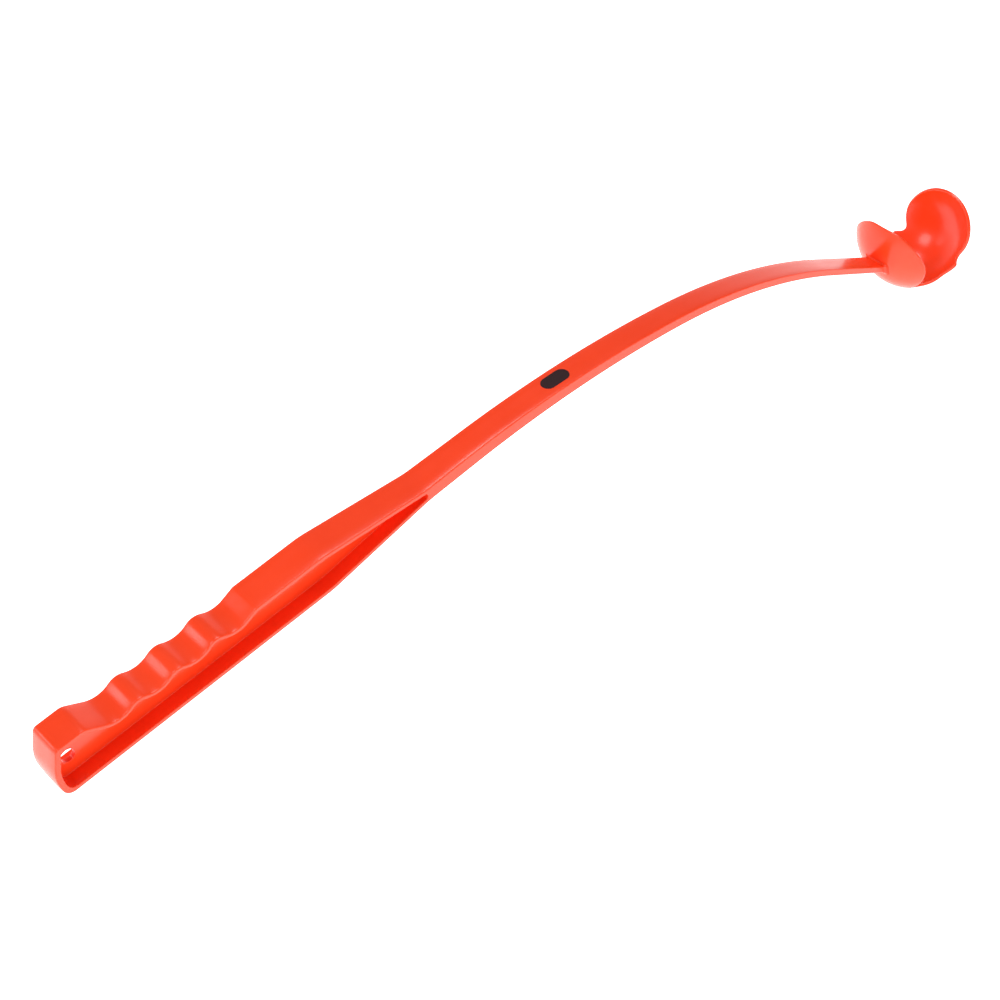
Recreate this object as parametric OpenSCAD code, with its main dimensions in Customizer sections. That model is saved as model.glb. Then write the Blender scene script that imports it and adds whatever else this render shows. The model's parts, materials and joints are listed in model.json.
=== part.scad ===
// Hand-held ball launcher: grooved I-section grip, curved whip shaft and a
// two-jawed cup that snaps over a ball and holds it by its own spring.
// The moulding is drawn in the grip's frame (x along the flat underside, z up)
// and then stood on the floor as an arch, on the grip's heel and the cup.

/* [Grip] */
// Overall width of the grip
grip_w = 20.6; // [16:0.2:24]
// Height of the grip behind the finger grooves
grip_h = 26.7; // [25:0.5:30]
// Height of the hump at the butt
butt_h = 33.3; // [31:0.1:36]
// Length of the grip's parallel part, from the butt
grip_len = 165; // [150:1:175]
// Thickness of the upper and the lower flange
flange_t = 3; // [2.5:0.5:3.5]
// Thickness of the end wall that closes the butt
wall_t = 4; // [3:0.5:5]
// Thickness of the web between the flanges
web_t = 3; // [2:0.5:5]
// Radius of the heel, the lower corner of the butt
heel_r = 6; // [5:0.5:7]

/* [Finger grooves] */
// Number of finger grooves
groove_count = 4; // [2:1:4]
// Distance from one groove to the next
groove_pitch = 23.5; // [22:0.5:24]
// Depth of a groove below its crests
groove_depth = 3.2; // [2.8:0.1:4.5]
// Distance from the butt to the middle of the first groove
groove_x = 39; // [37:0.5:40]

/* [Hanging hole] */
// Radius of the hanging hole
hole_r = 4; // [2:0.25:5]
// Distance from the butt to the hole's centre
hole_x = 11; // [10:0.5:14]
// Height of the hole's centre above the underside
hole_z = 14.5; // [12:0.5:18]

/* [Shaft] */
// Distance from the butt to where the shaft starts to curve
shaft_x = 262; // [255:1:270]
// Height of the shaft's top face where it starts
shaft_z = 17; // [15:0.5:19]
// Radius of the shaft's gentle first bend
rear_bend_r = 660; // [600:10:720]
// Angle of the first bend
rear_bend_a = 13.5; // [12:0.5:15]
// Radius of the tighter second bend
front_bend_r = 355; // [330:5:380]
// Angle of the second bend
front_bend_a = 21; // [19:0.5:23]
// Length of the straight neck on its top face
neck_len = 57; // [54:1:60]
// Depth of the shaft where it starts, after the first bend, and at the cup
shaft_depths = [9, 6.6, 4.8];
// Width of the shaft where it starts, after the first bend, after the second, and at the cup
shaft_widths = [17.6, 16, 14.8, 13.6];

/* [Cup] */
// Radius of the ball that the cup holds
ball_r = 32.5; // [31:0.25:34]
// Gap between the ball and the cup
ball_gap = 0.5; // [0.25:0.25:1]
// Thickness of the cup's wall
cup_t = 2; // [1.75:0.25:2.5]
// Direction of the front jaw's root, from the cup's centre
front_root_a = -40; // [-45:1:-35]
// Gap at the root of each jaw
jaw_gap = 0.3; // [0.2:0.1:0.5]

/* [Badge] */
// Length of the badge
badge_l = 18; // [12:0.5:20]
// Width of the badge
badge_w = 9; // [5:0.5:10]
// Angle along the first bend to the badge's middle
badge_a = 5.9; // [3:0.1:8]
// Thickness of the badge, and how far it stands proud
badge_t = [0.6, 0.2];

/* [Hidden] */

arc_steps = 8;         // segments in a rounded corner
bend_steps = 12;       // segments in a bend of the shaft
deep = 60;             // width of a block that is trimmed to the object's own width
end_x = 9;             // the end wall reaches this far along the grip
groove_end = 126;      // the grooved part of the upper flange ends here
root_x = 215;          // the flanges end and the solid root starts here
split_z = 13.5;        // level between the upper and the lower flange
nose_x = 232;          // the recess ends and the taper meets the shaft here
nose_r = 1.6;          // radius of the recess's far end
butt_top = [5, butt_h, 3.6];   // upper corner of the butt and its rounding
butt_bulge = [-2.4, 14.5, 29]; // middle of the bulging butt and its rounding
hump_x = 21.5;         // the hump at the butt ends here
taper_r = 60;          // roundings where the grip tapers into the shaft
floor_a = 240;         // direction from the cup's centre to where its back meets its floor
orange = [0.98, 0.27, 0.16];
black = [0.06, 0.03, 0.04];

// Wave of the finger grooves: crest and valley arcs with a short straight between them.
wave_r = (pow(groove_pitch / 2, 2) + pow(groove_depth, 2)) / (2 * groove_depth);
crest_r = 0.38 * wave_r;
valley_r = 0.56 * wave_r;
wave_a = asin(groove_pitch / 2 / wave_r);
rise = 1 / cos(wave_a) - 1;
crest_z = grip_h + crest_r * rise;
valley_z = grip_h - groove_depth - valley_r * rise;
last_crest_x = groove_x + (groove_count - 0.5) * groove_pitch;

cup_r = ball_r + ball_gap + cup_t;

// Points on a circle of radius r about c, between two angles.
function arc(c, r, from, to, steps) =
    [for (i = [0 : steps]) let (a = from + (to - from) * i / steps) c + r * [cos(a), sin(a)]];
function unit(v) = v / norm(v);
function xz(p) = [p[0], p[1]];

// Centre of the arc of radius b[2] that rounds the corner b between a and c.
function corner_centre(a, b, c) =
    let (u = unit(xz(a) - xz(b)), w = unit(xz(c) - xz(b)), half = acos(u * w) / 2)
    xz(b) + b[2] / sin(half) * unit(u + w);
// Points of that arc, or the corner itself when it isn't rounded.
function corner(a, b, c) =
    b[2] == 0 ? [xz(b)] :
    let (u = unit(xz(a) - xz(b)), w = unit(xz(c) - xz(b)),
         reach = b[2] / tan(acos(u * w) / 2),
         m = corner_centre(a, b, c),
         d0 = xz(b) + reach * u - m,
         d1 = xz(b) + reach * w - m,
         from = atan2(d0[1], d0[0]),
         turn = atan2(d0[0] * d1[1] - d0[1] * d1[0], d0 * d1))
    arc(m, b[2], from, from + turn, arc_steps);
// Outline through corners that are each given as [x, z, rounding].
function rounded(p) =
    let (n = len(p)) [for (i = [0 : n - 1]) each corner(p[(i + n - 1) % n], p[i], p[(i + 1) % n])];

// Upper edge of the grip, from the taper back to the butt, moved in by d.
function grip_top(d) = [
    [grip_len, grip_h - d, taper_r - d],
    [last_crest_x + 1.5, grip_h - d, 5 - d],
    for (i = [groove_count - 1 : -1 : 0]) each concat(
        [[groove_x + i * groove_pitch, valley_z - d, valley_r + d]],
        i == 0 ? [] : [[groove_x + (i - 0.5) * groove_pitch, crest_z - d, crest_r - d]]),
    [hump_x, butt_h - d, 8 - d],
];
bottom_z = shaft_z - shaft_depths[0];
// Side outline of the grip with the solid root, down to where the shaft starts to curve.
grip_outline = rounded(concat(
    [[0, 0, heel_r], [grip_len, 0, taper_r], [nose_x, bottom_z, taper_r],
     [shaft_x, bottom_z, 0], [shaft_x, shaft_z, 0], [nose_x, shaft_z, taper_r - 20]],
    grip_top(0),
    [butt_top, butt_bulge]));
// Side outline of the recess on each side of the web.
recess_outline = rounded(concat(
    [[flange_t, flange_t, heel_r - flange_t / 2], [grip_len, flange_t, taper_r],
     [nose_x, bottom_z + flange_t, nose_r], [nose_x, shaft_z - flange_t, nose_r]],
    grip_top(flange_t),
    [[butt_top[0] + wall_t * 0.65, butt_h - flange_t, butt_top[2] / 2],
     [butt_bulge[0] + wall_t, butt_bulge[1], butt_bulge[2] - wall_t]]));

// The shaft's top line in three stretches: two bends and the straight neck.
rear_centre = [shaft_x, shaft_z - rear_bend_r];
rear_end = rear_centre + rear_bend_r * [sin(rear_bend_a), cos(rear_bend_a)];
front_centre = rear_end - front_bend_r * [sin(rear_bend_a), cos(rear_bend_a)];
neck_a = rear_bend_a + front_bend_a;
front_end = front_centre + front_bend_r * [sin(neck_a), cos(neck_a)];
along = [cos(neck_a), -sin(neck_a)];
outward = [sin(neck_a), cos(neck_a)];
neck_end = front_end + neck_len * along;
// The neck's top face meets the cup a little below the cup's middle.
cup_meet_a = 179;
cup_centre = neck_end - cup_r * [cos(cup_meet_a), sin(cup_meet_a)];
// Side outline of a bend whose depth runs from d0 to d1.
function bend(c, r, from, to, d0, d1) = concat(
    arc(c, r, 90 - from, 90 - to, bend_steps),
    [for (i = [bend_steps : -1 : 0])
        let (a = from + (to - from) * i / bend_steps, d = d0 + (d1 - d0) * i / bend_steps)
        c + (r - d) * [sin(a), cos(a)]]);

// Tilt that puts both the heel and the cup on the floor.
heel = corner_centre(butt_bulge, [0, 0, heel_r], [grip_len, 0]);
span = cup_centre - heel;
tilt = atan2(span[1], span[0]) - asin((cup_r - heel_r) / norm(span));
function row_x(p) = p[0] * cos(tilt) + p[1] * sin(tilt);
function row_z(p) = p[1] * cos(tilt) - p[0] * sin(tilt);
floor_z = row_z(heel) - heel_r;
butt_centre = corner_centre(butt_top, butt_bulge, [0, 0]);
x_low = row_x(butt_centre) - butt_bulge[2];
x_high = row_x(cup_centre) + cup_r;
x_mid = (x_low + x_high) / 2;
cup_x = row_x(cup_centre) - x_mid;

// Cut that opens the cup, seen from the side, in cup radii: the rear jaw's tip and
// edge, the floor of the side gap with its small step, and the front jaw's edge.
jaw_cut = [[-1.2, 0.47, 0], [-0.86, 0.47, 0.08], [-0.6, -0.1, 0.8], [-0.44, -0.97, 0.3],
           [0.28, -0.77, 0.2], [0.4, -0.54, 0], [0.61, -0.56, 0.12], [0.69, -0.12, 1.5],
           [1.15, 1.2, 0], [-1.2, 1.2, 0]];

// Stands the moulding on the floor as an arch.
module in_row() {
    translate([-x_mid, 0, -floor_z]) rotate([0, tilt, 0]) children();
}

// Extrudes a side outline (x, z) over a width centred on the middle plane.
module side(width) {
    translate([0, width / 2, 0]) rotate([90, 0, 0]) linear_extrude(width) children();
}

// Plan outline of the grip and the shaft, which trims their side outlines to width.
module plan() {
    stations = [[-10, grip_w], [grip_len, grip_w], [shaft_x, shaft_widths[0]],
                [rear_end[0], shaft_widths[1]], [front_end[0], shaft_widths[2]],
                [cup_centre[0], shaft_widths[3]]];
    left = [for (s = stations) [s[0], s[1] / 2]];
    right = [for (i = [len(stations) - 1 : -1 : 0]) [stations[i][0], -stations[i][1] / 2]];
    translate([0, 0, -200]) linear_extrude(300) polygon(concat(left, right));
}

// A block of the side view between two points.
module block(low, high) {
    translate([low[0], -deep / 2, low[1]]) cube([high[0] - low[0], deep, high[1] - low[1]]);
}

module grip_solid() {
    intersection() {
        side(deep) polygon(grip_outline);
        plan();
    }
}

module grip_rim() {
    difference() {
        grip_solid();
        side(deep + 2) polygon(recess_outline);
    }
}

module end_wall() {
    color(orange) in_row() intersection() {
        grip_rim();
        block([-10, -10], [end_x, 50]);
    }
}

module finger_flange() {
    color(orange) in_row() intersection() {
        grip_rim();
        block([end_x, split_z], [groove_end, 50]);
    }
}

module top_flange() {
    color(orange) in_row() intersection() {
        grip_rim();
        block([groove_end, split_z], [root_x, 50]);
    }
}

module bottom_flange() {
    color(orange) in_row() intersection() {
        grip_rim();
        block([end_x, -10], [root_x, split_z]);
    }
}

module shaft_root() {
    color(orange) in_row() intersection() {
        grip_rim();
        block([root_x, -10], [shaft_x, 50]);
    }
}

module handle_web() {
    color(orange) in_row() difference() {
        side(web_t) polygon(recess_outline);
        translate([hole_x, 0, hole_z]) rotate([90, 0, 0])
            cylinder(h = web_t + 2, r = hole_r, center = true, $fn = 48);
    }
}

// Stadium prism of the badge's outline, standing on the shaft's top face.
module badge_block(low, high) {
    r = badge_w / 2;
    translate([rear_centre[0], 0, rear_centre[1]]) rotate([0, badge_a, 0])
    translate([0, 0, rear_bend_r + low]) linear_extrude(high - low) union() {
        square([badge_l - badge_w, badge_w], center = true);
        for (x = [-1, 1]) translate([x * (badge_l - badge_w) / 2, 0]) circle(r, $fn = 48);
    }
}

module shaft_rear() {
    color(orange) in_row() difference() {
        intersection() {
            side(deep) polygon(bend(rear_centre, rear_bend_r, 0, rear_bend_a,
                                    shaft_depths[0], shaft_depths[1]));
            plan();
        }
        badge_block(badge_t[1] - badge_t[0], 5);
    }
}

module badge() {
    color(black) in_row() badge_block(badge_t[1] - badge_t[0], badge_t[1]);
}

module shaft_front() {
    color(orange) in_row() intersection() {
        side(deep) polygon(bend(front_centre, front_bend_r, rear_bend_a, neck_a,
                                shaft_depths[1], shaft_depths[2]));
        plan();
    }
}

module cup_ball(r) {
    translate([cup_centre[0], 0, cup_centre[1]]) sphere(r, $fn = 240);
}

module shaft_neck() {
    depth = shaft_depths[2];
    reach = neck_len + 8; // runs on into the ball, which trims it
    color(orange) in_row() difference() {
        intersection() {
            side(deep) polygon([front_end, front_end + reach * along,
                                front_end + reach * along - depth * outward,
                                front_end - depth * outward]);
            plan();
        }
        cup_ball(cup_r);
    }
}

// Small wedge that carries the neck's top face up onto the cup.
module cup_gusset() {
    length = 5;
    height = 3;
    foot = neck_end - length * along;
    top = neck_end + height * outward;
    inside = 4 * along;
    color(orange) in_row() difference() {
        side(shaft_widths[3] - 4) polygon([foot, neck_end + inside, top + inside, top]);
        cup_ball(cup_r);
    }
}

// The whole cup, standing on the floor, opened at the mouth and at both sides.
module cup_shell() {
    translate([cup_x, 0, cup_r]) difference() {
        sphere(cup_r, $fn = 96);
        sphere(cup_r - cup_t, $fn = 96);
        side(3 * cup_r) polygon(cup_r * rounded(jaw_cut));
    }
}

// Sector of the side view about the cup's centre, drawn back by a gap at both ends.
module sector(from, to, gap) {
    reach = 2 * cup_r;
    fan = arc([0, 0], reach, from, to, 4);
    first = gap * [-sin(from), cos(from)];
    last = gap * [sin(to), -cos(to)];
    points = [for (i = [0 : 4]) fan[i] + (i == 0 ? first : i == 4 ? last : [0, 0])];
    // the two drawn-back edges meet at this apex
    bisector = (from + to) / 2;
    apex = gap / sin((to - from) / 2) * [cos(bisector), sin(bisector)];
    translate([cup_x, 0, cup_r]) side(3 * cup_r) polygon(concat([apex], points));
}

module cup_back() {
    color(orange) intersection() {
        cup_shell();
        sector(180, floor_a, 0);
    }
}

module cup_floor() {
    color(orange) intersection() {
        cup_shell();
        sector(floor_a, 360 + front_root_a, 0);
    }
}

module front_jaw() {
    color(orange) intersection() {
        cup_shell();
        sector(front_root_a, 90, jaw_gap);
    }
}

module rear_jaw() {
    color(orange) intersection() {
        cup_shell();
        sector(90, 180, jaw_gap);
    }
}

end_wall();
finger_flange();
top_flange();
bottom_flange();
handle_web();
shaft_root();
shaft_rear();
shaft_front();
shaft_neck();
badge();
cup_gusset();
cup_back();
cup_floor();
front_jaw();
rear_jaw();
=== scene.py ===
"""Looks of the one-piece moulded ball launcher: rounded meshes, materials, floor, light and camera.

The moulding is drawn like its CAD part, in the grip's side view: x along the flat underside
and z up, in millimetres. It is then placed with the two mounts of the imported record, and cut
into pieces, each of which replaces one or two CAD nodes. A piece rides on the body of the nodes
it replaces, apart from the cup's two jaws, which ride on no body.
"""
import json
import math

import bmesh
import bpy
import numpy as np
from mathutils import Matrix, Vector
from mathutils.geometry import delaunay_2d_cdt


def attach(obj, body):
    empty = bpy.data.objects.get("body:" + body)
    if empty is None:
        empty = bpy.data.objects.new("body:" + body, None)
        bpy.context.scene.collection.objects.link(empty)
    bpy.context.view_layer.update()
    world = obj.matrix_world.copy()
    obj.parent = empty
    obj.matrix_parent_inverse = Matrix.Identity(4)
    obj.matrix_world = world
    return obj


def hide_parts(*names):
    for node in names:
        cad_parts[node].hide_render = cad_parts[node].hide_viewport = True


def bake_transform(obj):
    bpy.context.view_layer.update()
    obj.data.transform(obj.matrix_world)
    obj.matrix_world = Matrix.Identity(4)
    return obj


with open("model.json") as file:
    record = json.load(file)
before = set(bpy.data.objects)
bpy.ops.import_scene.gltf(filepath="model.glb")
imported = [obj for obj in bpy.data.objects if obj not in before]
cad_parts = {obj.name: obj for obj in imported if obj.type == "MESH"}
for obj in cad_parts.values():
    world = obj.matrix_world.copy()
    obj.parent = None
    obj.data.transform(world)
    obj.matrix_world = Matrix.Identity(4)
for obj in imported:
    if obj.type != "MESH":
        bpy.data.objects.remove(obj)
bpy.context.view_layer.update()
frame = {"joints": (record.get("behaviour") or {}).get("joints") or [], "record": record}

MM = 0.001

# ---------------------------------------------------------------- driving sizes, in millimetres
GRIP_W, GRIP_H, BUTT_H, GRIP_LEN = 20.6, 26.7, 33.3, 165
FLANGE_T, WALL_T, WEB_T, HEEL_R = 3, 4, 3, 6
GROOVES, GROOVE_PITCH, GROOVE_DEPTH, GROOVE_X = 4, 23.5, 3.2, 39
CREST_SHARE, VALLEY_SHARE = 0.38, 0.56      # radii of the wave's crests and valleys, to its arcs'
HOLE_R, HOLE_AT = 4, np.array([11, 14.5])
SHAFT_X, SHAFT_Z = 262, 17
REAR_R, REAR_TURN = 660, math.radians(13.5)
FRONT_R, FRONT_TURN = 355, math.radians(21)
NECK_LEN = 57
SHAFT_DEPTHS = (9, 6.6, 4.8)
SHAFT_WIDTHS = (17.6, 16, 14.8, 13.6)
CUP_R, CUP_T = 35, 2
CUP_MEET = math.radians(179)        # angle round the cup where the neck's top line meets it
BADGE_L, BADGE_W, BADGE_TURN, BADGE_PROUD = 18, 9, math.radians(5.9), 0.2

END_X, ROOT_X, SPLIT_Z = 9, 215, 13.5       # where the grip is cut into pieces
NOSE_X, NOSE_R = 232, 1.6                   # where the recess ends, and its corners there
BUTT_TOP = (5, BUTT_H, 3.6)                 # corners of the end wall, as (x, z, radius)
BUTT_BULGE = (-2.4, 14.5, 29)
WALL_LEAN = 0.65        # how far the end wall's inner top corner is set back, to its thickness
HUMP_X, HUMP_R = 21.5, 8                    # where the hump at the butt starts to fall
LAST_CREST_RUN, LAST_CREST_R = 1.5, 5       # the crest after the last groove
TAPER_R, SHOULDER_R = 60, 40                # soft corners of the taper, and before the shaft
TIP_RUN = 9             # how far the neck is drawn on into the cup, where it is cut off

# roundings of the moulding's edges
FLANGE_EDGE = 0.8       # outer edges of the flanges
SHAFT_EDGE = 0.9        # edges of the shaft where it starts
NECK_EDGE = 0.7         # edges of the neck
LIP_EDGE = 0.6          # inner edges of the flanges
WEB_FILLET = 0.5        # fillet between the flanges and the web
RIM_EDGE = 0.75         # edges of the cup's wall
HOLE_EDGE = 0.3         # edges of the hanging hole
CROWN = 0.3             # how far the middle of the outer faces stands above their edges
CROWN_W = 8.5           # half-width that sets the slope at the crown's edges
NECK_FILLET = 2.2       # fillet between the neck and the cup

# fineness of the meshes
ARC_STEP = math.radians(5)
LONGEST = 3.0           # longest step along an outline
CROWN_SHARES = (0, 0.35, 0.6, 0.8, 0.92)    # places of the points across a crowned face
EDGE_POINTS = 8         # points round a bar's outer edge
LIP_POINTS = 5          # points round a recess's lip, and round its fillet
HOLE_SIDES = 48
HOLE_POINTS = 4         # points round each of the hole's edges
RIM_DENSITY = 400       # points on each step of the rim's side view, before they are evened out
RIM_STEP = 0.8          # step along the cup's rim
RIM_POINTS = 6          # points round each of the rim's edges
RIM_PASSES = 3          # passes of smoothing along the rim
CORNER_POINTS = 7       # points round each corner of the neck's section
FILLET_POINTS = 9       # points along the neck's fillet


# ---------------------------------------------------------------- outlines in the side view
def unit(v):
    """A vector's direction, as a vector of length 1."""
    return v / np.linalg.norm(v)


def corner_arc(before, corner, after):
    """Points of the arc that rounds a corner given as (x, z, radius)."""
    b = np.array(corner[:2], float)
    if corner[2] == 0:
        return [b]
    u = unit(np.array(before[:2]) - b)
    w = unit(np.array(after[:2]) - b)
    half = math.acos(np.clip(u @ w, -1, 1)) / 2
    centre = b + corner[2] / math.sin(half) * unit(u + w)
    reach = corner[2] / math.tan(half)
    start = b + reach * u - centre
    end = b + reach * w - centre
    turn = math.atan2(start[0] * end[1] - start[1] * end[0], start @ end)
    first = math.atan2(start[1], start[0])
    steps = max(2, math.ceil(abs(turn) / ARC_STEP), math.ceil(abs(turn) * corner[2] / LONGEST))
    angles = first + turn * np.linspace(0, 1, steps + 1)
    return [centre + corner[2] * np.array([math.cos(a), math.sin(a)]) for a in angles]


def outline(corners, closed=True):
    """Outline through corners given as (x, z, radius), with long straights divided."""
    n = len(corners)
    points = []
    for i, corner in enumerate(corners):
        if closed or 0 < i < n - 1:
            points += corner_arc(corners[i - 1], corner, corners[(i + 1) % n])
        else:
            points.append(np.array(corner[:2], float))
    spaced = []
    for i, p in enumerate(points):
        q = points[(i + 1) % len(points)]
        if i == len(points) - 1 and not closed:
            spaced.append(p)
            break
        steps = max(1, math.ceil(np.linalg.norm(q - p) / LONGEST))
        spaced += [p + (q - p) * k / steps for k in range(steps)]
    return np.array(spaced)


def outward(points):
    """Outward normals of a closed anticlockwise outline."""
    ahead = np.roll(points, -1, 0) - points
    ahead /= np.linalg.norm(ahead, axis=1)[:, None]
    along = ahead + np.roll(ahead, 1, 0)
    along /= np.linalg.norm(along, axis=1)[:, None]
    return np.stack([along[:, 1], -along[:, 0]], 1)


wave_r = ((GROOVE_PITCH / 2) ** 2 + GROOVE_DEPTH ** 2) / (2 * GROOVE_DEPTH)
crest_r, valley_r = CREST_SHARE * wave_r, VALLEY_SHARE * wave_r
wave_rise = 1 / math.cos(math.asin(GROOVE_PITCH / 2 / wave_r)) - 1
crest_z = GRIP_H + crest_r * wave_rise
valley_z = GRIP_H - GROOVE_DEPTH - valley_r * wave_rise
last_crest_x = GROOVE_X + (GROOVES - 0.5) * GROOVE_PITCH
bottom_z = SHAFT_Z - SHAFT_DEPTHS[0]


def grip_top(d):
    """Corners of the grip's upper edge, from the taper back to the butt, moved in by d."""
    corners = [(GRIP_LEN, GRIP_H - d, TAPER_R - d),
               (last_crest_x + LAST_CREST_RUN, GRIP_H - d, LAST_CREST_R - d)]
    for i in reversed(range(GROOVES)):
        corners.append((GROOVE_X + i * GROOVE_PITCH, valley_z - d, valley_r + d))
        if i:
            corners.append((GROOVE_X + (i - 0.5) * GROOVE_PITCH, crest_z - d, crest_r - d))
    return corners + [(HUMP_X, BUTT_H - d, HUMP_R - d)]


# the shaft's top line: two bends and the straight neck
rear_centre = np.array([SHAFT_X, SHAFT_Z - REAR_R])
rear_out = np.array([math.sin(REAR_TURN), math.cos(REAR_TURN)])
rear_end = rear_centre + REAR_R * rear_out
front_centre = rear_end - FRONT_R * rear_out
neck_turn = REAR_TURN + FRONT_TURN
neck_out = np.array([math.sin(neck_turn), math.cos(neck_turn)])
neck_along = np.array([math.cos(neck_turn), -math.sin(neck_turn)])
front_end = front_centre + FRONT_R * neck_out
neck_end = front_end + NECK_LEN * neck_along
cup_centre = neck_end - CUP_R * np.array([math.cos(CUP_MEET), math.sin(CUP_MEET)])


def bend(centre, radius, start, turn, depths):
    """Top and bottom points of a bend whose depth changes evenly."""
    share = np.linspace(0, 1, math.ceil(radius * turn / LONGEST) + 1)[:, None]
    angle = start + turn * share
    out = np.hstack([np.sin(angle), np.cos(angle)])
    depth = depths[0] + (depths[1] - depths[0]) * share
    return centre + radius * out, centre + (radius - depth) * out


rear_top, rear_bottom = bend(rear_centre, REAR_R, 0, REAR_TURN, SHAFT_DEPTHS[:2])
front_top, front_bottom = bend(front_centre, FRONT_R, REAR_TURN, FRONT_TURN, SHAFT_DEPTHS[1:])
tip_top = neck_end + TIP_RUN * neck_along
tip_bottom = tip_top - SHAFT_DEPTHS[2] * neck_out
shaft_top = [(*p, 0) for p in np.vstack([rear_top[1:], front_top[1:], [tip_top]])[::-1]]
shaft_bottom = [(*p, 0) for p in np.vstack([rear_bottom[1:], front_bottom[1:], [tip_bottom]])]

bar_outline = outline(
    [(0, 0, HEEL_R), (GRIP_LEN, 0, TAPER_R), (NOSE_X, bottom_z, TAPER_R), (SHAFT_X, bottom_z, 0)]
    + shaft_bottom + shaft_top
    + [(SHAFT_X, SHAFT_Z, 0), (NOSE_X, SHAFT_Z, SHOULDER_R)]
    + grip_top(0) + [BUTT_TOP, BUTT_BULGE])
recess_outline = outline(
    [(FLANGE_T, FLANGE_T, HEEL_R - FLANGE_T / 2), (GRIP_LEN, FLANGE_T, TAPER_R),
     (NOSE_X, bottom_z + FLANGE_T, NOSE_R), (NOSE_X, SHAFT_Z - FLANGE_T, NOSE_R)]
    + grip_top(FLANGE_T)
    + [(BUTT_TOP[0] + WALL_LEAN * WALL_T, BUTT_H - FLANGE_T, BUTT_TOP[2] / 2),
       (BUTT_BULGE[0] + WALL_T, BUTT_BULGE[1], BUTT_BULGE[2] - WALL_T)])


def half_width(x):
    """Half the width of the grip or the shaft at x."""
    stations = [GRIP_LEN, SHAFT_X, rear_end[0], front_end[0], cup_centre[0]]
    return np.interp(x, stations, [GRIP_W, *SHAFT_WIDTHS]) / 2


def edge_radius(x):
    """Radius of the outer edges of the grip or the shaft at x."""
    return np.interp(x, [GRIP_LEN, SHAFT_X, front_end[0]], [FLANGE_EDGE, SHAFT_EDGE, NECK_EDGE])


# ---------------------------------------------------------------- from the side view to the frame
mounts = {m["name"]: np.array(m["pos_m"]) / MM for m in frame["record"]["mounts"]}
hole_row = mounts["hanging_hole"][[0, 2]]
cup_row = mounts["ball_seat"][[0, 2]]


def heading(v):
    """A side-view vector's angle above the x axis."""
    return math.atan2(v[1], v[0])


tilt = heading(cup_row - hole_row) - heading(cup_centre - HOLE_AT)
to_frame = (Matrix.Translation((hole_row[0], 0, hole_row[1]))
            @ Matrix.Rotation(-tilt, 4, "Y")
            @ Matrix.Translation((-HOLE_AT[0], 0, -HOLE_AT[1])))
cup_to_frame = Matrix.Translation((cup_row[0], 0, cup_row[1]))


# ---------------------------------------------------------------- mesh building
class Skin:
    """Points with their exact normals, and faces. Inner faces are flat, and hidden where two
    pieces meet."""

    def __init__(self):
        self.points, self.normals, self.faces, self.inner = [], [], [], []

    def add(self, points, normals):
        """Adds an array of points and returns their numbers in the same arrangement."""
        points = np.asarray(points, float)
        first = len(self.points)
        self.points += points.reshape(-1, 3).tolist()
        self.normals += np.broadcast_to(normals, points.shape).reshape(-1, 3).tolist()
        return first + np.arange(points[..., 0].size).reshape(points.shape[:-1])

    def face(self, corners, inner=False):
        """Adds a face through points given by their numbers."""
        self.faces.append([int(c) for c in corners])
        self.inner.append(inner)

    def strip(self, rows, closed=True, flip=False, inner=False):
        """Quads between the columns of a grid of point numbers, closed along its rows or not."""
        n = len(rows)
        for i in range(n if closed else n - 1):
            here, there = rows[i], rows[(i + 1) % n]
            for j in range(len(here) - 1):
                quad = [here[j], there[j], there[j + 1], here[j + 1]]
                self.face(quad[::-1] if flip else quad, inner)

    def fill(self, loops, flat, flip=False, extra=(), inner=False):
        """Triangles between the first loop of point numbers and the loops inside it. flat gives
        each point's place in a plane, and extra lists more points for the triangles to use."""
        numbers = [int(v) for loop in loops for v in loop] + [int(v) for v in extra]
        edges, start = [], 0
        for loop in loops:
            n = len(loop)
            edges += [(start + i, start + (i + 1) % n) for i in range(n)]
            start += n
        made = delaunay_2d_cdt([Vector(flat[v]) for v in numbers], edges, [], 1, 1e-7)
        place, faces, origin = made[0], made[2], made[3]
        rings = [np.array([flat[int(v)] for v in loop]) for loop in loops]
        for f in faces:
            middle = np.mean([place[v][:] for v in f], 0)
            if not inside(middle, rings[0]) or any(inside(middle, r) for r in rings[1:]):
                continue
            corners = [numbers[origin[v][0]] for v in f]
            self.face(corners[::-1] if flip else corners, inner)

    def build(self):
        """The skin as a bmesh whose points carry their normals."""
        bm = bmesh.new()
        normal = bm.verts.layers.float_vector.new("exact_normal")
        inner = bm.faces.layers.int.new("inner")
        verts = []
        for p, n in zip(self.points, self.normals):
            v = bm.verts.new(p)
            v[normal] = n
            verts.append(v)
        for f, hidden in zip(self.faces, self.inner):
            made = bm.faces.new([verts[i] for i in f])
            made[inner] = int(hidden)
            made.smooth = not hidden
        return bm


def inside(p, ring):
    """Whether a point of the plane is inside a closed ring of points."""
    a, b = ring, np.roll(ring, -1, 0)
    crossing = (a[:, 1] > p[1]) != (b[:, 1] > p[1])
    a, b = a[crossing], b[crossing]
    at = a[:, 0] + (p[1] - a[:, 1]) * (b[:, 0] - a[:, 0]) / (b[:, 1] - a[:, 1])
    return np.count_nonzero(at > p[0]) % 2 == 1


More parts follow.
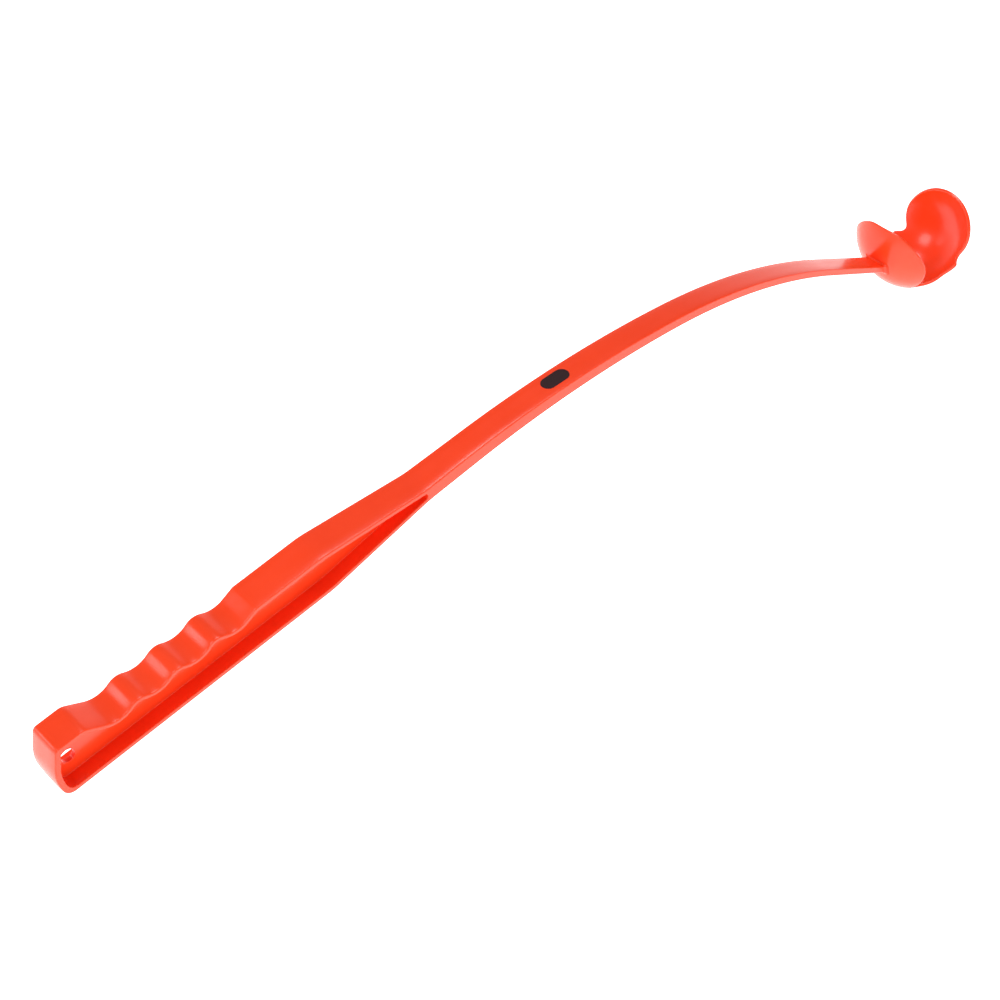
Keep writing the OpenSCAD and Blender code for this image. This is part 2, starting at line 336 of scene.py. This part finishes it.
def cut(bm, planes):
    """A copy of bm with only what is behind each plane (point, normal), closed at the cuts."""
    merge, on_plane = 1e-5, 1e-3        # distances within which points are one, or on a plane
    bm = bm.copy()
    inner = bm.faces.layers.int["inner"]
    for at, normal in planes:
        geometry = bm.verts[:] + bm.edges[:] + bm.faces[:]
        bmesh.ops.bisect_plane(bm, geom=geometry, plane_co=at, plane_no=normal,
                               clear_outer=True, dist=merge)
        rim = [e for e in bm.edges if e.is_boundary and all(
            abs((v.co - Vector(at)).dot(Vector(normal))) < on_plane for v in e.verts)]
        for f in bmesh.ops.holes_fill(bm, edges=rim, sides=0)["faces"]:
            f[inner] = 1
            f.smooth = False
    return bm


def finish_mesh(bm, name, material, place, replaced, body=None):
    """Makes an object of a bmesh, with its exact normals, in the frame's metres. It rides on
    body, if one is given."""
    bmesh.ops.triangulate(bm, faces=[f for f in bm.faces if len(f.verts) > 4])
    bm.faces.index_update()
    normal = bm.verts.layers.float_vector["exact_normal"]
    inner = bm.faces.layers.int["inner"]
    turn = place.to_3x3()
    normals = []
    for f in bm.faces:
        flat_normal = f.normal.copy()
        normals += [turn @ (flat_normal if f[inner] else v[normal]) for v in f.verts]
    bm.transform(Matrix.Scale(MM, 4) @ place)
    mesh = bpy.data.meshes.new(name)
    bm.to_mesh(mesh)
    bm.free()
    for layer in ("exact_normal", "inner"):
        mesh.attributes.remove(mesh.attributes[layer])
    mesh.normals_split_custom_set([n.normalized() for n in normals])
    mesh.materials.append(material)
    piece = bpy.data.objects.new(name, mesh)
    bpy.context.scene.collection.objects.link(piece)
    if body:
        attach(piece, body)
    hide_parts(*replaced)
    return piece


def in_3d(side_view, y):
    """Side-view vectors (x, z) with a y, as vectors (x, y, z)."""
    side_view = np.asarray(side_view, float)
    y = np.broadcast_to(y, side_view[..., 0].shape)
    return np.stack([side_view[..., 0], y, side_view[..., 1]], -1)


# ---------------------------------------------------------------- the bar: grip and shaft
def face_profile(w, r):
    """Profile across the outer face, from the middle plane to the side, for half-widths w
    and edge radii r: rows of distance from the middle, drop, and angle of the normal."""
    lean = math.atan(4 * CROWN / CROWN_W)
    flat = w - r * (1 - math.sin(lean))
    rows = [(flat * s, np.full_like(w, CROWN * s ** 4), lean * s ** 3) for s in CROWN_SHARES]
    for a in np.linspace(lean, math.pi / 2, EDGE_POINTS):
        rows.append((w - r * (1 - math.sin(a)), CROWN + r * (math.cos(lean) - math.cos(a)), a))
    return rows


def add_bar_face(skin):
    """The outer face all the way round the outline. Returns its two edge loops."""
    points, normals = bar_outline, outward(bar_outline)
    columns = []
    for y, drop, a in face_profile(half_width(points[:, 0]), edge_radius(points[:, 0])):
        columns.append((points - normals * drop[:, None], y, normals * math.cos(a), math.sin(a)))
    # both sides share the column in the middle plane, so it is added once
    sides = [skin.add(in_3d(p, s * y), in_3d(n, s * m))
             for s in (-1, 1) for p, y, n, m in columns if s > 0 or np.any(y > 0)]
    half = len(columns) - 1
    order = sides[:half][::-1] + sides[half:]
    skin.strip(np.array(order).T, flip=True)
    return order[0], order[-1]


def add_recess(skin, side):
    """One side's recess wall, from the rounded lip down to the fillet on the web."""
    points, normals = recess_outline, outward(recess_outline)
    w = half_width(points[:, 0])
    columns = []
    for a in np.linspace(0, math.pi / 2, LIP_POINTS):
        columns.append((LIP_EDGE * (1 - math.sin(a)), w - LIP_EDGE * (1 - math.cos(a)), a))
    for a in np.linspace(0, math.pi / 2, LIP_POINTS):
        y = np.full_like(w, WEB_T / 2 + WEB_FILLET * (1 - math.sin(a)))
        columns.append((-WEB_FILLET * (1 - math.cos(a)), y, math.pi / 2 - a))
    loops = [skin.add(in_3d(points + normals * d, side * y),
                      in_3d(-normals * math.sin(a), side * math.cos(a)))
             for d, y, a in columns]
    skin.strip(np.array(loops).T, flip=side > 0)
    return loops[0], loops[-1]


def flat_places(skin):
    """Every point's place in the side view, by its number."""
    return {i: (p[0], p[2]) for i, p in enumerate(skin.points)}


def bar_skin():
    """The grip's end wall and flanges and the whole shaft as one closed skin, without the web."""
    skin = Skin()
    edges = dict(zip((-1, 1), add_bar_face(skin)))
    webs = {}
    for side in (-1, 1):
        lip, webs[side] = add_recess(skin, side)
        skin.fill([edges[side], lip], flat_places(skin), flip=side > 0)
    skin.strip(np.array([webs[-1], webs[1]]).T, inner=True)
    return skin.build()


def web_skin():
    """The web between the flanges, with the hanging hole through it."""
    skin = Skin()
    rim = recess_outline - outward(recess_outline) * WEB_FILLET
    angles = np.linspace(0, 2 * math.pi, HOLE_SIDES, endpoint=False)
    out = np.stack([np.cos(angles), np.sin(angles)], 1)
    rims, bores = {}, {}
    for side in (-1, 1):
        rims[side] = skin.add(in_3d(rim, side * WEB_T / 2), (0, side, 0))
        steps = []
        for a in np.linspace(0, math.pi / 2, HOLE_POINTS):
            place = HOLE_AT + out * (HOLE_R + HOLE_EDGE * (1 - math.sin(a)))
            y = side * (WEB_T / 2 - HOLE_EDGE * (1 - math.cos(a)))
            steps.append(skin.add(in_3d(place, y), in_3d(-out * math.sin(a), side * math.cos(a))))
        skin.strip(np.array(steps).T, flip=side > 0)
        skin.fill([rims[side], steps[0]], flat_places(skin), flip=side > 0)
        bores[side] = steps[-1]
    skin.strip(np.array([bores[-1], bores[1]]).T)
    skin.strip(np.array([rims[-1], rims[1]]).T, flip=True, inner=True)
    return skin.build()


def plane(at, heading_vector):
    """A cutting plane of the side view, as the 3-D point and normal that cut() takes."""
    return (at[0], 0, at[1]), (heading_vector[0], 0, heading_vector[1])


def add_bar_pieces(material):
    """The bar's pieces, each with the nodes it replaces and the planes that cut it out."""
    bar = bar_skin()
    fore, aft, up, down = (1, 0), (-1, 0), (0, 1), (0, -1)
    rear_along = np.array([math.cos(REAR_TURN), -math.sin(REAR_TURN)])
    cover = 0.5         # how much of the cup's wall covers the neck's hidden end
    meet = cup_centre + (CUP_R - CUP_T + cover) * unit(neck_end - cup_centre)
    regions = {
        "grip_end_wall": (["end_wall"], [((END_X, 0), fore)]),
        "grip_top_flange": (["finger_flange", "top_flange"],
                            [((END_X, 0), aft), ((ROOT_X, 0), fore), ((0, SPLIT_Z), down)]),
        "grip_bottom_flange": (["bottom_flange"],
                               [((END_X, 0), aft), ((ROOT_X, 0), fore), ((0, SPLIT_Z), up)]),
        "bar_root": (["shaft_root"], [((ROOT_X, 0), aft), ((SHAFT_X, 0), fore)]),
        "bar_rear": (["shaft_rear"], [((SHAFT_X, 0), aft), (rear_end, rear_along)]),
        "bar_front": (["shaft_front"], [(rear_end, -rear_along), (front_end, neck_along)]),
        "bar_neck": (["shaft_neck"],
                     [(front_end, -neck_along), (meet, unit(cup_centre - neck_end))]),
    }
    for name, (nodes, planes) in regions.items():
        piece = cut(bar, [plane(*p) for p in planes])
        finish_mesh(piece, name, material, to_frame, nodes, "launcher")
    finish_mesh(web_skin(), "grip_web", material, to_frame, ["handle_web"], "launcher")


# ---------------------------------------------------------------- the cup
# the cut that opens the cup, in the side view and in cup radii, from beyond the rear jaw's tip
# to beyond the front jaw's
rim_corners = [(-1.2, 0.47, 0), (-0.86, 0.47, 0.08), (-0.6, -0.1, 0.8), (-0.44, -0.97, 0.3),
               (0.28, -0.77, 0.2), (0.4, -0.54, 0.015), (0.61, -0.56, 0.12), (0.69, -0.12, 1.5),
               (1.15, 1.2, 0)]


def rim_loop():
    """The cup's rim as a smoothed closed loop of unit vectors, about evenly spaced."""
    scaled = [tuple(CUP_R * c for c in p) for p in rim_corners]
    side_view = outline(scaled, closed=False) / CUP_R
    share = np.linspace(0, 1, RIM_DENSITY, endpoint=False)[:, None]
    dense = np.vstack([a + (b - a) * share for a, b in zip(side_view, side_view[1:])])
    dense = dense[(dense ** 2).sum(1) < 1]
    y = np.sqrt(1 - (dense ** 2).sum(1))
    near = in_3d(dense, -y)
    far = in_3d(dense, y)[::-1]
    loop = np.vstack([near, far])
    length = np.r_[0, np.cumsum(np.linalg.norm(np.roll(loop, -1, 0) - loop, axis=1))]
    count = round(length[-1] * CUP_R / RIM_STEP)
    at = np.linspace(0, length[-1], count, endpoint=False)
    closed = np.vstack([loop, loop[:1]])
    even = np.stack([np.interp(at, length, closed[:, k]) for k in range(3)], 1)
    for _ in range(RIM_PASSES):
        even = (np.roll(even, 1, 0) + 2 * even + np.roll(even, -1, 0)) / 4
    return even / np.linalg.norm(even, axis=1)[:, None]


def cup_skin():
    """The whole cup: outer and inner sphere joined by a rounded rim."""
    skin = Skin()
    rim = rim_loop()
    along = np.roll(rim, -1, 0) - np.roll(rim, 1, 0)
    along /= np.linalg.norm(along, axis=1)[:, None]
    opening = np.cross(along, rim)
    opening *= np.sign(opening[np.argmax(rim[:, 1]), 2])
    loops = []
    for centre, angles in ((CUP_R - RIM_EDGE, np.linspace(math.pi / 2, 0, RIM_POINTS)),
                           (CUP_R - CUP_T + RIM_EDGE, np.linspace(0, -math.pi / 2, RIM_POINTS))):
        for a in angles:
            radius = centre + RIM_EDGE * math.sin(a)
            shift = (RIM_EDGE * math.cos(a) - RIM_EDGE) / radius
            place = rim * math.cos(shift) + opening * math.sin(shift)
            loops.append(skin.add(place * radius, rim * math.sin(a) + opening * math.cos(a)))
    skin.strip(np.array(loops).T)
    for loop, radius, outside in ((loops[0], CUP_R, 1), (loops[-1], CUP_R - CUP_T, -1)):
        add_sphere_patch(skin, loop, radius, outside)
    return skin.build()


def ball_points():
    """Points in rings round the bottom of a ball of radius 1, each ring turned a little further
    than the last, up to well above its middle."""
    ring_step, spacing, twist, rings = math.radians(2.2), math.radians(2.4), 0.4, 60
    rows = [[[0, 0, -1]]]
    for k in range(1, rings):
        polar = k * ring_step
        count = max(6, round(2 * math.pi * math.sin(polar) / spacing))
        angle = np.linspace(0, 2 * math.pi, count, endpoint=False) + twist * k
        rows.append(np.stack([math.sin(polar) * np.cos(angle), math.sin(polar) * np.sin(angle),
                              np.full(count, -math.cos(polar))], 1))
    return np.vstack(rows)


def add_sphere_patch(skin, loop, radius, outside):
    """Fills a loop on the sphere over the bottom of the cup. It is triangulated in the
    plane that the sphere is seen in from its top point."""
    clearance, highest = math.radians(1.3), 0.9
    edge = np.array([skin.points[v] for v in loop]) / radius
    flat_edge = edge[:, :2] / (1 - edge[:, 2:])
    keep = []
    for p in ball_points():
        clear = np.linalg.norm(edge - p, axis=1).min() > clearance
        if p[2] < highest and clear and inside(p[:2] / (1 - p[2]), flat_edge):
            keep.append(p)
    keep = np.array(keep)
    extra = skin.add(keep * radius, keep * outside)
    flat = {}
    for v in list(loop) + list(extra):
        p = np.array(skin.points[v]) / radius
        flat[int(v)] = (p[0] / (1 - p[2]), p[1] / (1 - p[2]))
    skin.fill([loop], flat, flip=outside > 0, extra=extra)


def hinge_place(name):
    """A joint's place in the side view, from the middle of the cup, in millimetres."""
    joint = next(j for j in frame["joints"] if j["name"] == name)
    return np.array(joint["pos_m"])[[0, 2]] / MM - cup_row


def bend_wall(piece):
    """Bakes a jaw's place into its mesh."""
    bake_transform(piece)


def add_cup_pieces(material):
    """The fixed bowl, and the two jaws cut from it above their roots."""
    cup = cup_skin()
    front_root = hinge_place("front_jaw_flex")
    front_up = unit(np.array([-front_root[1], front_root[0]]))
    bowl = cut(cup, [((0, 0, 0), (0, 0, 1)), plane((0, 0), front_up)])
    finish_mesh(bowl, "cup_bowl", material, cup_to_frame,
                ["cup_back", "cup_floor"], "launcher")
    rear = cut(cup, [((0, 0, 0), (0, 0, -1)), ((0, 0, 0), (1, 0, 0))])
    rear = finish_mesh(rear, "cup_rear_wall", material, cup_to_frame, ["rear_jaw"])
    bend_wall(rear)
    front = cut(cup, [plane((0, 0), -front_up), ((0, 0, 0), (-1, 0, 0))])
    front = finish_mesh(front, "cup_front_wall", material, cup_to_frame, ["front_jaw"])
    bend_wall(front)


# ---------------------------------------------------------------- fillet and badge
def neck_section():
    """The neck's rounded section, as rows of y, height above its top, and the normal's y and
    height, with no step longer than a millimetre."""
    w = half_width(neck_end[0])
    depth, r, longest = SHAFT_DEPTHS[2], NECK_EDGE, 1.0
    section = []
    for middle, start in (((w - r, -r), 0), ((-w + r, -r), 90), ((-w + r, r - depth), 180),
                          ((w - r, r - depth), 270)):
        for a in np.radians(np.linspace(start, start + 90, CORNER_POINTS)):
            section.append((middle[0] + r * math.cos(a), middle[1] + r * math.sin(a),
                            math.cos(a), math.sin(a)))
    spaced = []
    for i, row in enumerate(section):
        a, b = np.array(row), np.array(section[(i + 1) % len(section)])
        steps = max(1, math.ceil(np.linalg.norm(b[:2] - a[:2]) / longest))
        spaced += [a + (b - a) * k / steps for k in range(steps)]
    return spaced


def fillet_row(y, z, out_y, out_z):
    """Points and normals of the fillet's curve from one point of the neck's section onto the
    cup. The last point is sunk below the surface, to close the fillet."""
    before, sunk = 30, 0.4
    along, rise, base, centre = (in_3d(v, 0) for v in (neck_along, neck_out, neck_end, cup_centre))
    wide = np.array([0, 1, 0])
    out = out_y * wide + out_z * rise
    start = base + y * wide + z * rise - before * along
    reach = start - centre
    b = reach @ along
    meet = start + (-b - math.sqrt(b * b - reach @ reach + CUP_R ** 2)) * along
    radial = unit(meet - centre)
    over = unit(out - (out @ radial) * radial)
    first = meet - NECK_FILLET * along
    last = centre + CUP_R * unit(meet + NECK_FILLET * over - centre)
    t = np.linspace(0, 1, FILLET_POINTS)[:, None]
    curve = (1 - t) ** 2 * first + 2 * t * (1 - t) * meet + t ** 2 * last
    tangent = 2 * (1 - t) * (meet - first) + 2 * t * (last - meet)
    across = np.cross(np.cross(out, along), tangent)
    across /= np.linalg.norm(across, axis=1)[:, None]
    across *= np.sign(across[0] @ out)
    inner = meet - sunk * radial - sunk * out
    return np.vstack([curve, [inner]]), np.vstack([across, [-out]])


def add_neck_fillet(material):
    """The fillet that carries the neck's faces over onto the cup."""
    skin = Skin()
    rows = [fillet_row(*row) for row in neck_section()]
    grid = skin.add([points for points, normals in rows], [normals for points, normals in rows])
    skin.strip(grid[:, :-1])
    skin.strip(grid[:, [-2, -1, 0]], inner=True)
    finish_mesh(skin.build(), "neck_fillet", material, to_frame, ["cup_gusset"], "launcher")


def add_badge(material):
    """The blank stadium badge, with a thin raised border, bent to the shaft's top face."""
    skin = Skin()
    n = 25              # points round each end
    r = BADGE_W / 2
    half = (BADGE_L - BADGE_W) / 2
    turn = np.radians(np.r_[np.linspace(-90, 90, n), np.linspace(90, 270, n)])
    side = np.repeat([1, -1], n)
    out = np.stack([np.cos(turn), np.sin(turn)], 1)
    middle = np.stack([side * half, np.zeros(2 * n)], 1)
    sunk, edge, border, slope, step = 0.3, 0.12, 0.55, 0.06, 0.06
    bevel = 0.3 * edge
    # distance in from the outline, height over the shaft, and the normal's lean outwards
    rows = [(0, -sunk, 90), (0, BADGE_PROUD - edge, 90), (bevel, BADGE_PROUD - bevel, 45),
            (edge, BADGE_PROUD, 0), (border, BADGE_PROUD, 0), (border + slope, BADGE_PROUD - step, 0)]
    numbers = []
    for inset, height, angle in rows:
        flat = middle + out * (r - inset)
        a = BADGE_TURN + flat[:, 0] / REAR_R
        up = np.stack([np.sin(a), np.zeros(2 * n), np.cos(a)], 1)
        ahead = np.stack([np.cos(a), np.zeros(2 * n), -np.sin(a)], 1)
        place = in_3d(np.tile(rear_centre, (2 * n, 1)), flat[:, 1]) + (REAR_R + height) * up
        tip = math.radians(angle)
        lean = ahead * out[:, :1] + np.array([0, 1, 0]) * out[:, 1:]
        numbers.append(skin.add(place, up * math.cos(tip) + lean * math.sin(tip)))
    skin.strip(np.array(numbers).T)
    stadium = middle + out * r
    for loop, under in ((numbers[-1], False), (numbers[0], True)):
        skin.fill([loop], dict(zip(loop.tolist(), stadium)), flip=under, inner=under)
    finish_mesh(skin.build(), "badge_plate", material, to_frame, ["badge"], "launcher")


# ---------------------------------------------------------------- materials
def new_material(name):
    """A material with its node tree, its shader and a helper that adds nodes."""
    material = bpy.data.materials.new(name)
    material.use_nodes = True
    tree = material.node_tree
    shader = tree.nodes["Principled BSDF"]

    def node(kind, **values):
        made = tree.nodes.new(kind)
        for key, value in values.items():
            if key in made.inputs:
                made.inputs[key].default_value = value
            else:
                setattr(made, key, value)
        return made

    return material, tree, shader, node


def noise(tree, node, scale, stretch=(1, 1, 1), detail=3.0):
    """Noise in the piece's own coordinates, in cycles per metre."""
    place = node("ShaderNodeTexCoord")
    mapping = node("ShaderNodeMapping")
    mapping.inputs["Scale"].default_value = stretch
    texture = node("ShaderNodeTexNoise", Scale=scale, Detail=detail, Roughness=0.55)
    tree.links.new(place.outputs["Object"], mapping.inputs["Vector"])
    tree.links.new(mapping.outputs["Vector"], texture.inputs["Vector"])
    return texture.outputs["Fac"]


def between(tree, node, factor, low, high):
    """Maps the middle part of a noise, where nearly all of it lies, onto a range."""
    made = node("ShaderNodeMapRange")
    made.inputs["From Min"].default_value = 0.3
    made.inputs["From Max"].default_value = 0.7
    made.inputs["To Min"].default_value = low
    made.inputs["To Max"].default_value = high
    tree.links.new(factor, made.inputs["Value"])
    return made.outputs["Result"]


def mixed(tree, node, factor, first, second):
    """Mixes two colours by a 0 to 1 factor."""
    made = node("ShaderNodeMix", data_type="RGBA")
    first_colour, second_colour, result = made.inputs[6], made.inputs[7], made.outputs[2]
    first_colour.default_value = (*first, 1)
    second_colour.default_value = (*second, 1)
    tree.links.new(factor, made.inputs["Factor"])
    return result


def add_bump(tree, node, height, shader, strength, distance):
    """Raises a surface by a 0 to 1 height, over a distance in metres."""
    bump = node("ShaderNodeBump", Strength=strength, Distance=distance)
    tree.links.new(height, bump.inputs["Height"])
    tree.links.new(bump.outputs["Normal"], shader.inputs["Normal"])


def moulded_plastic():
    """Semi-gloss orange-red plastic: faint clouding, flow lines and a fine moulded skin."""
    material, tree, shader, node = new_material("orange_moulding")
    shader.inputs["IOR"].default_value = 1.5
    shader.inputs["Specular IOR Level"].default_value = 0.5
    clouds = between(tree, node, noise(tree, node, scale=28), 0, 1)
    colour = mixed(tree, node, clouds, (0.94, 0.053, 0.01), (0.98, 0.06, 0.013))
    tree.links.new(colour, shader.inputs["Base Color"])
    flow = noise(tree, node, scale=90, stretch=(0.1, 2, 2), detail=2)
    tree.links.new(between(tree, node, flow, 0.2, 0.26), shader.inputs["Roughness"])
    skin = noise(tree, node, scale=160, detail=1)
    add_bump(tree, node, skin, shader, strength=0.1, distance=0.0002)
    return material


def badge_ink():
    """Satin near-black print with a fine grain."""
    material, tree, shader, node = new_material("badge_black")
    shader.inputs["Specular IOR Level"].default_value = 0.2
    grain = noise(tree, node, scale=1500)
    colour = mixed(tree, node, between(tree, node, grain, 0, 1),
                   (0.016, 0.004, 0.006), (0.034, 0.009, 0.011))
    tree.links.new(colour, shader.inputs["Base Color"])
    tree.links.new(between(tree, node, grain, 0.42, 0.55), shader.inputs["Roughness"])
    add_bump(tree, node, grain, shader, strength=0.15, distance=0.0001)
    return material


# ---------------------------------------------------------------- studio
FLOOR_R = 6
FLOOR_GLOW = 1.3        # light that the luminous floor adds to what it reflects
WORLD_LIGHT = 1.4       # strength of the surroundings
CEILING_Z, CEILING_GREY = 0.6, 0.11     # where the surroundings are at their dimmest, and how dim


def add_floor():
    """A plain pale floor, lit evenly like a light table."""
    material, tree, shader, node = new_material("pale_floor")
    shader.inputs["Roughness"].default_value = 0.9
    shader.inputs["Specular IOR Level"].default_value = 0.1
    shader.inputs["Emission Color"].default_value = (1, 1, 1, 1)
    shader.inputs["Emission Strength"].default_value = FLOOR_GLOW
    tone = mixed(tree, node, noise(tree, node, scale=3), (0.5, 0.5, 0.5), (0.52, 0.52, 0.52))
    tree.links.new(tone, shader.inputs["Base Color"])
    bm = bmesh.new()
    bmesh.ops.create_circle(bm, cap_ends=True, radius=FLOOR_R, segments=96)
    mesh = bpy.data.meshes.new("floor")
    bm.to_mesh(mesh)
    bm.free()
    mesh.materials.append(material)
    floor = bpy.data.objects.new("floor", mesh)
    bpy.context.scene.collection.objects.link(floor)


def add_world():
    """Surroundings that are white at the horizon and below, and dim evenly above it."""
    world = bpy.data.worlds.new("studio")
    bpy.context.scene.world = world
    world.use_nodes = True
    tree = world.node_tree
    tree.nodes.clear()
    place = tree.nodes.new("ShaderNodeTexCoord")
    split = tree.nodes.new("ShaderNodeSeparateXYZ")
    ramp = tree.nodes.new("ShaderNodeValToRGB")
    background = tree.nodes.new("ShaderNodeBackground")
    output = tree.nodes.new("ShaderNodeOutputWorld")
    tree.links.new(place.outputs["Generated"], split.inputs["Vector"])
    tree.links.new(split.outputs["Z"], ramp.inputs["Fac"])
    tree.links.new(ramp.outputs["Color"], background.inputs["Color"])
    tree.links.new(background.outputs["Background"], output.inputs["Surface"])
    stops = ramp.color_ramp.elements
    stops[0].position, stops[0].color = 0.0, (1, 1, 1, 1)
    stops[1].position, stops[1].color = CEILING_Z, (CEILING_GREY, CEILING_GREY, CEILING_GREY, 1)
    background.inputs["Strength"].default_value = WORLD_LIGHT


def add_softbox(name, target, toward, distance, size, power, spread=180, reflected=True):
    """A square softbox that faces a target, in a direction and at a distance from it.
    A grid in front of it narrows its light to a spread in degrees. One that isn't
    reflected only brightens the surfaces, and leaves no image in their gloss."""
    light = bpy.data.lights.new(name, "AREA")
    light.shape = "SQUARE"
    light.size = size
    light.energy = power
    light.spread = math.radians(spread)
    lamp = bpy.data.objects.new(name, light)
    direction = Vector(toward).normalized()
    lamp.location = Vector(target) + direction * distance
    lamp.rotation_mode = "QUATERNION"
    lamp.rotation_quaternion = direction.to_track_quat("Z", "Y")
    lamp.visible_glossy = reflected
    bpy.context.scene.collection.objects.link(lamp)


def add_camera():
    """The camera: its place in metres, and where it looks. The azimuth is clockwise from +Y,
    and the elevation is how far it looks down."""
    azimuth, elevation, roll = math.radians(40.82), math.radians(41.67), math.radians(-0.63)
    camera = bpy.data.cameras.new("camera")
    camera.lens = 72
    camera.sensor_width = 36
    camera.clip_start, camera.clip_end = 0.05, 30
    seen = bpy.data.objects.new("camera", camera)
    seen.location = (-0.57303, -0.61173, 0.73397)
    turn = (Matrix.Rotation(-azimuth, 3, "Z") @ Matrix.Rotation(math.pi / 2 - elevation, 3, "X")
            @ Matrix.Rotation(roll, 3, "Z"))
    seen.rotation_mode = "QUATERNION"
    seen.rotation_quaternion = turn.to_quaternion()
    bpy.context.scene.collection.objects.link(seen)
    bpy.context.scene.camera = seen


# ---------------------------------------------------------------- the scene
plastic = moulded_plastic()
add_bar_pieces(plastic)
add_cup_pieces(plastic)
add_neck_fillet(plastic)
add_badge(badge_ink())
add_floor()
add_world()
add_softbox("left_softbox", target=(0.295, 0, 0.035), toward=(-0.735, 0.03, 0.68),
            distance=1.6, size=0.6, power=5.5)
add_softbox("top_softbox", target=(0, 0, 0), toward=(0.15, 0.15, 1),
            distance=1.8, size=0.7, power=13)
add_softbox("front_softbox", target=(0, 0, 0), toward=(-0.2, -1, 0.25),
            distance=2.2, size=1.6, power=9, reflected=False)
add_softbox("groove_softbox", target=(-0.26, 0, 0.03), toward=(-0.65, 0.65, 0.48),
            distance=1.5, size=0.6, power=0.11, spread=30)
add_camera()
bpy.context.scene.view_settings.view_transform = "Standard"
